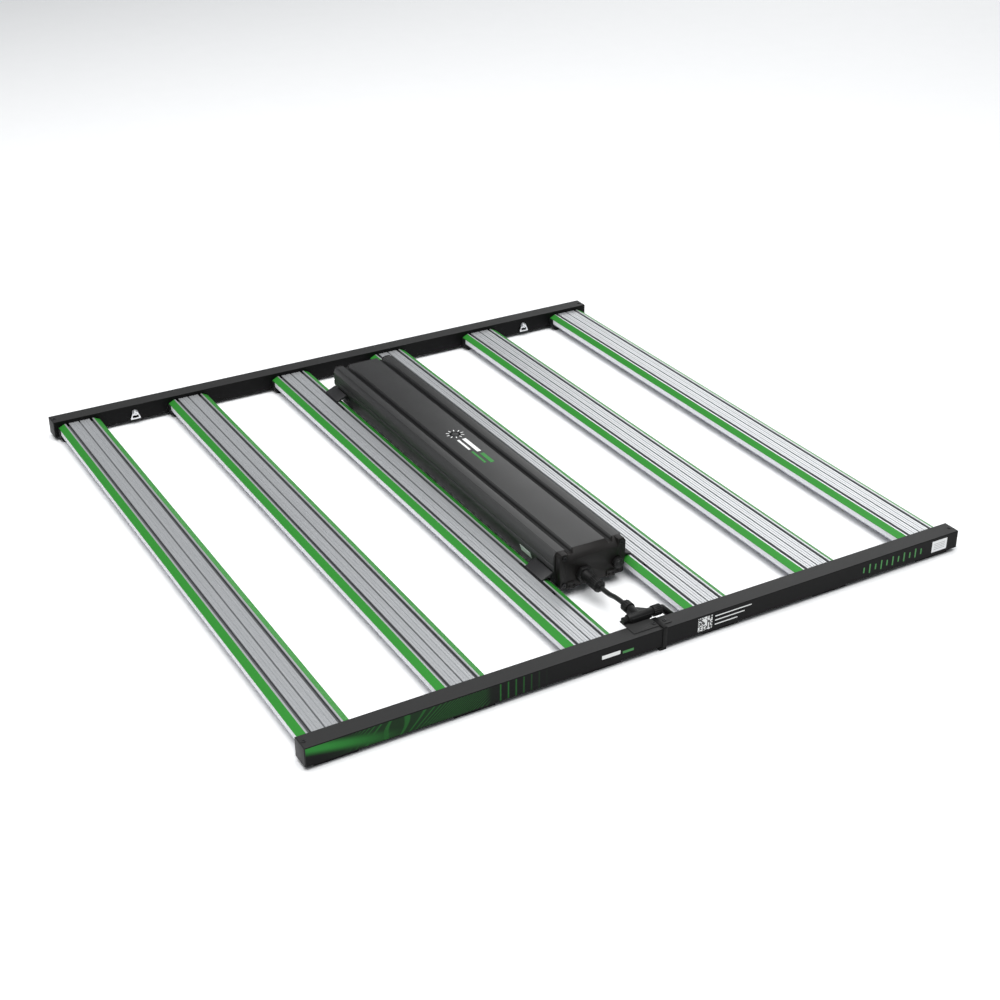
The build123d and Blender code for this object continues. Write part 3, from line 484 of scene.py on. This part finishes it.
# ---- LED boards ----
# White-masked aluminium boards, screwed under the bars, with four rows of white chips and
# a red chip at every eighth place. Each chip is a pale tub with a phosphor window.
board_mask = Finish("board_mask", (0.80, 0.81, 0.79), 0.32)
board_mask.grain(600.0, 0.04, 0.03)
chip_tub = Finish("chip_tub", (0.82, 0.82, 0.78), 0.4)
chip_tub.grain(2500.0, 0.05, 0.03)
phosphor = Finish("chip_phosphor", (0.86, 0.62, 0.10), 0.35, Coat_Weight=0.4)
phosphor.grain(3000.0, 0.1, 0.1)
red_window = Finish("chip_red", (0.50, 0.05, 0.04), 0.3, Coat_Weight=0.4)
red_window.grain(3000.0, 0.1, 0.1)
CHIP = (0.0030, 0.0034, 0.0008)
CHIP_ROWS = (-0.021, -0.007, 0.007, 0.021)
CHIP_STEP = 0.0125
BOARD_MARGIN = 0.03
RED_EVERY = 8

for number in BARS:
    board_mask.on(f"led_board_{number}")
    board_low, board_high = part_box(f"led_board_{number}")
    chips = bmesh.new()
    count = int((board_high.y - board_low.y - BOARD_MARGIN) / CHIP_STEP)
    start = (board_low.y + board_high.y - (count - 1) * CHIP_STEP) / 2
    for row in CHIP_ROWS:
        red_place = 1 if row > 0 else 4
        for place in range(count):
            centre = ((board_low.x + board_high.x) / 2 + row, start + place * CHIP_STEP,
                      board_low.z - CHIP[2] / 2)
            chip_space = Matrix.Translation(centre) @ Matrix.Diagonal((*CHIP, 1))
            tub = bmesh.ops.create_cube(chips, size=1.0, matrix=chip_space)
            window = [f for v in tub["verts"] for f in v.link_faces if f.normal.z < -0.9][0]
            bmesh.ops.inset_region(chips, faces=[window], thickness=0.0004, depth=-0.0002)
            window.material_index = 2 if (place + red_place) % RED_EVERY == 0 else 1
    bmesh.ops.recalc_face_normals(chips, faces=chips.faces)
    chip_piece = add_piece(f"led_chips_{number}", chips, chip_tub.material)
    chip_piece.data.materials.append(phosphor.material)
    chip_piece.data.materials.append(red_window.material)


# ---- lenses ----
# Clear polycarbonate troughs with a frosted inner face, snapped into the bars' side
# grooves. Light gathers in their edges, so the thin side walls look milky white.
lens = Finish("frosted_lens", (0.80, 0.83, 0.86), 0.38, specular=0.5)
frost = lens.noise(500.0, 3.0)
lens_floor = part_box("bar_lens_1")[0].z
side_wall = lens.smooth(lens.axes["Z"], lens_floor + 0.002, lens_floor + 0.004)
lens.feed("Base Color", lens.mix(side_wall, (0.72, 0.72, 0.80), (0.86, 0.87, 0.90)))
lens.feed("Alpha", 0.34 + frost * 0.12 + side_wall * 0.34)
lens.bump(frost, 0.15, 0.0001)
lens.on(*[f"bar_lens_{number}" for number in BARS])


# ---- bar brackets ----
# Glass-filled nylon mouldings, one at each end of each bar: a foot under the rail, and a
# block that closes the end of the lens. Two countersunk screws go up into each.
bracket_nylon = Finish("bracket_nylon", (0.008, 0.008, 0.0085), 0.5, specular=0.2)
bracket_nylon.grain(1500.0, 0.25)
soften("bar_feet_front", "front_bar_brackets", 0.0006, bracket_nylon)
soften("bar_feet_rear", "rear_bar_brackets", 0.0006, bracket_nylon)


# ---- driver housing ----
# A long graphite powder-coated extrusion, a little lighter towards the front. Two deep
# grooves part its top panel from ribbed shoulders, and the walls lean in below a knee.
# The grooves on top are painted near black as painted shade, and a band round the knee is
# painted darker as the painted shadow of the overhang above it.
housing_low, housing_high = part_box("driver_housing")
GRAPHITE = (0.024, 0.024, 0.024)
FRONT_GRAPHITE = (0.056, 0.056, 0.056)
driver_coat = Finish("driver_coat", GRAPHITE, 0.44, specular=0.3)
driver_coat.grain(1100.0, 0.22, 0.1)
GROOVE_INNER = 0.0275
GROOVE_OUTER = 0.0415
KNEE_HEIGHT = 0.036
from_middle = abs(driver_coat.axes["X"])
height = driver_coat.axes["Z"]
in_groove = 1 - driver_coat.smooth(height, housing_high.z - 0.005, housing_high.z - 0.001)
on_top = height > housing_high.z - 0.0075
beside_panel = (from_middle > GROOVE_INNER) * (from_middle < GROOVE_OUTER)
towards_front = 1 - driver_coat.smooth(driver_coat.axes["Y"], housing_low.y, housing_high.y)
lighter_towards_front = driver_coat.mix(towards_front, GRAPHITE, FRONT_GRAPHITE)
patchy = driver_coat.mix(driver_coat.noise(14.0, 4.0) * 0.15, lighter_towards_front, (0.01, 0.01, 0.01))
# painted shade: the grooves beside the top panel are painted near black
groove_painted_shade = driver_coat.mix(in_groove * on_top * beside_panel, patchy, (0.006, 0.006, 0.006))
# painted shadow: a band round the knee is painted darker, where the overhang above shades the wall
knee_painted_shadow = 1 - driver_coat.smooth(abs(height - KNEE_HEIGHT), 0.002, 0.012)
driver_coat.feed("Base Color", driver_coat.mix(knee_painted_shadow * 0.5, groove_painted_shade, (0.012, 0.012, 0.012)))
soften("driver_body", "driver_housing", 0.0004, driver_coat, segments=2, sharp=20)


# ---- printed mark and label on the driver ----
# A plain sun ring with short rays beside two bars, printed on the panel, and a small white
# rating label without writing on the left wall.
PANEL_TOP = housing_high.z
PANEL_FILM = 0.0002


def panel_ring(name, centre, outer, inner, material):
    """A thin ring printed on the driver's top panel."""
    shape = bmesh.new()
    circle = bmesh.ops.create_circle(shape, cap_ends=True, radius=outer, segments=48,
                                     matrix=Matrix.Translation((*centre, PANEL_TOP)))
    disc = circle["verts"][0].link_faces[0]
    bmesh.ops.inset_region(shape, faces=[disc], thickness=outer - inner, use_boundary=True)
    bmesh.ops.delete(shape, geom=[disc], context="FACES_ONLY")
    bmesh.ops.solidify(shape, geom=shape.faces[:], thickness=PANEL_FILM)
    bmesh.ops.recalc_face_normals(shape, faces=shape.faces)
    return add_piece(name, shape, material)


def panel_bar(shape, centre, length, width, turn):
    """Adds one thin bar on the driver's top panel to a bmesh."""
    spin = Matrix.Rotation(turn, 4, "Z")
    size = Matrix.Diagonal((length, width, PANEL_FILM * 2, 1))
    bmesh.ops.create_cube(shape, size=1.0,
                          matrix=Matrix.Translation((*centre, PANEL_TOP)) @ spin @ size)


SUN = Vector((0.002, 0.066))
panel_ring("sun_ring", SUN, 0.0085, 0.0062, white_ink.material)
RAYS = 10
RAY_DISTANCE = 0.0128
rays = bmesh.new()
for step in range(RAYS):
    turn = step * 2 * math.pi / RAYS
    ray = SUN + Vector((math.cos(turn), math.sin(turn))) * RAY_DISTANCE
    panel_bar(rays, ray, 0.0050, 0.0016, turn)
add_piece("sun_rays", rays, white_ink.material)
white_bars = bmesh.new()
panel_bar(white_bars, (0.0065, 0.018), 0.0070, 0.052, 0)
panel_bar(white_bars, (-0.0045, 0.024), 0.0040, 0.040, 0)
add_piece("panel_white_bars", white_bars, white_ink.material)
green_bars = bmesh.new()
panel_bar(green_bars, (0.0065, -0.034), 0.0070, 0.036, 0)
panel_bar(green_bars, (-0.0045, -0.026), 0.0040, 0.044, 0)
add_piece("panel_green_bars", green_bars, green_ink.material)

KNEE = Vector((-0.060, 0, 0.042))
FOOT = Vector((-0.050, 0, 0.010))
wall_run = (KNEE - FOOT).normalized()
wall_out = Vector((-wall_run.z, 0, wall_run.x))
wall_label = bmesh.new()
label_centre = FOOT + wall_run * 0.0235 + wall_out * 0.0001 + Vector((0, -0.263, 0))
tilt = Matrix((wall_run, Vector((0, 1, 0)), wall_out)).transposed().to_4x4()
bmesh.ops.create_cube(wall_label, size=1.0, matrix=Matrix.Translation(label_centre) @ tilt
                      @ Matrix.Diagonal((0.0115, 0.030, 0.0004, 1)))
add_piece("rating_label", wall_label, label_paper.material)


# ---- driver end caps ----
# Cast aluminium ends, powder coated black. The front one slopes down between two corner
# posts, and carries the dimmer, the output socket and two screw lugs.
casting = Finish("cap_casting", (0.009, 0.008, 0.0075), 0.46, specular=0.26)
casting.grain(900.0, 0.3, 0.2)
soften("front_casting", "driver_front_cap", 0.0006, casting)
soften("rear_casting", "driver_rear_cap", 0.0004, casting)


# ---- dimmer ----
# A ridged knob pressed on the potentiometer's shaft, with a moulded pointer groove.
knob_black = Finish("knob_black", (0.009, 0.009, 0.009), 0.4, specular=0.3)
knob_black.grain(2000.0, 0.12)
soften("ridged_knob", "dimmer_knob", 0.0002, knob_black, sharp=40)


# ---- output socket, coupling ring and plug ----
# A nylon bulkhead socket with a hex shoulder, a ridged ring that locks the plug, and the
# plug's moulded tail, ribbed round the lead where it bends.
moulded = Finish("moulded_black", (0.008, 0.008, 0.008), 0.44, specular=0.25)
moulded.grain(1700.0, 0.15)
soften("socket_body", "output_socket", 0.0003, moulded)
soften("locking_ring", "output_coupling_ring", 0.0003, moulded, sharp=40)


def turned(outline, centre, axis):
    """Spins an outline of (place along the axis, radius) round an axis through a centre."""
    shape = bmesh.new()
    direction = Vector(axis).normalized()
    sideways = direction.orthogonal().normalized()
    points = [shape.verts.new(Vector(centre) + direction * s + sideways * r) for s, r in outline]
    edges = [shape.edges.new(pair) for pair in zip(points, points[1:])]
    bmesh.ops.spin(shape, geom=points + edges, cent=centre, axis=direction,
                   angle=2 * math.pi, steps=40, use_merge=True)
    bmesh.ops.remove_doubles(shape, verts=shape.verts, dist=1e-6)
    bmesh.ops.recalc_face_normals(shape, faces=shape.faces)
    return shape


plug_low, plug_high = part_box("output_plug")
plug_centre = ((plug_low.x + plug_high.x) / 2, plug_high.y, (plug_low.z + plug_high.z) / 2)
plug_length = plug_high.y - plug_low.y
TAIL_LENGTH = 0.0060
PLUG_RADIUS = 0.0070
body_length = plug_length - TAIL_LENGTH
plug_outline = [(0, 0), (0, PLUG_RADIUS - 0.0004), (0.0006, PLUG_RADIUS),
                (body_length, PLUG_RADIUS), (body_length, 0.0082)]
TAIL_RIBS = 3
RIB_STEP = 0.0019
for rib in range(TAIL_RIBS):
    start = body_length + rib * RIB_STEP
    fat = 0.0080 - rib * 0.0011
    plug_outline += [(start + 0.0001, fat), (start + 0.0011, fat - 0.0002),
                     (start + 0.0013, fat - 0.0012), (start + 0.0018, fat - 0.0012)]
plug_outline += [(plug_length, 0.0046), (plug_length, 0)]
plug_tail = add_piece("plug_with_tail", turned(plug_outline, plug_centre, (0, -1, 0)),
                      moulded.material)
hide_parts("output_plug")


# ---- splitter ----
# A moulded rubber T on a steel plate: the lead comes in at its stem, a ridged ring locks
# the rail's feed on its right end, and a blank cap closes the left one.
soften("splitter_moulding", "splitter_body", 0.0009, moulded, segments=3)
soften("inlet_locking_ring", "splitter_inlet_ring", 0.0003, moulded, sharp=40)
soften("outlet_locking_ring", "splitter_outlet_ring", 0.0003, moulded, sharp=40)
soften("blank_end_cap", "splitter_blank_cap", 0.0002, moulded, sharp=40)
soften("splitter_base_plate", "splitter_plate", 0.0003, rail_coat)
soften("feed_boot", "feed_elbow", 0.0004, moulded, sharp=50)

strap_nylon = Finish("strap_nylon", (0.005, 0.005, 0.005), 0.45, specular=0.12)
ladder = (strap_nylon.axes["Z"] * 700.0) % 1.0
strap_nylon.grain(1500.0, 0.1)
strap_nylon.bump(ladder > 0.5, 0.35, 0.0002)
soften("tie_strap", "splitter_strap", 0.0003, strap_nylon)


# ---- mains gland ----
# A nylon cable gland in the rear cap. Its hex nut squeezes a seal on the mains lead.
soften("gland_body", "mains_gland", 0.0003, moulded)
soften("gland_clamping_nut", "mains_gland_nut", 0.0005, moulded)


# ---- driver feet and clamps ----
# Four bent steel feet under the driver's walls. Each hooks onto a black strip that slides
# in the side slot of a middle bar.
foot_coat = Finish("foot_coat", (0.022, 0.022, 0.023), 0.42, specular=0.3)
foot_coat.grain(1200.0, 0.15, 0.15)
soften("driver_feet", "driver_brackets", 0.0003, foot_coat)
strip_black = Finish("strip_black", (0.008, 0.008, 0.009), 0.38, metallic=0.2)
strip_black.grain(1800.0, 0.1)
soften("slot_strips", "groove_clamps", 0.0002, strip_black)


# ---- hangers ----
# Zinc-plated steel: a stamped link with a slot for the rope's hook, a button-head bolt,
# and a rivet nut in the rail's inner wall.
zinc = Finish("zinc_plate", (0.72, 0.73, 0.75), 0.28, metallic=0.9)
zinc_flakes = zinc.noise(700.0, 4.0)
zinc.feed("Base Color", zinc.mix(zinc_flakes, (0.60, 0.61, 0.64), (0.82, 0.82, 0.83)))
zinc.feed("Roughness", 0.2 + zinc_flakes * 0.16)
zinc.bump(zinc.noise(2200.0), 0.08)
for number in range(1, 5):
    soften(f"hook_link_{number}", f"hanger_link_{number}", 0.0003, zinc)
soften("button_bolts", "hanger_bolts", 0.0002, zinc)
zinc.on("hanger_rivet_nuts")


# ---- inside the driver and the front rail ----
# A green board on pillars, varnished wound parts, sleeved capacitors, the potentiometer,
# two red feed wires, and the plug that takes each bar's tail through the rail wall.
board_green = Finish("board_green", (0.02, 0.15, 0.06), 0.35)
board_green.grain(500.0, 0.1, 0.3)
board_green.on("driver_circuit_board")
varnish = Finish("core_varnish", (0.28, 0.20, 0.07), 0.4, Coat_Weight=0.3)
varnish.grain(500.0, 0.25, 0.25)
varnish.on("driver_transformers")
sleeve = Finish("capacitor_sleeve", (0.03, 0.045, 0.11), 0.3)
sleeve.grain(700.0, 0.08, 0.15)
sleeve.on("driver_capacitors")
knob_black.on("dimmer_potentiometer")
wire_jacket = Finish("wire_jacket", (0.30, 0.02, 0.02), 0.35)
wire_jacket.grain(1500.0, 0.06)
wire_jacket.on("rail_wires")
moulded.on("bar_connectors")
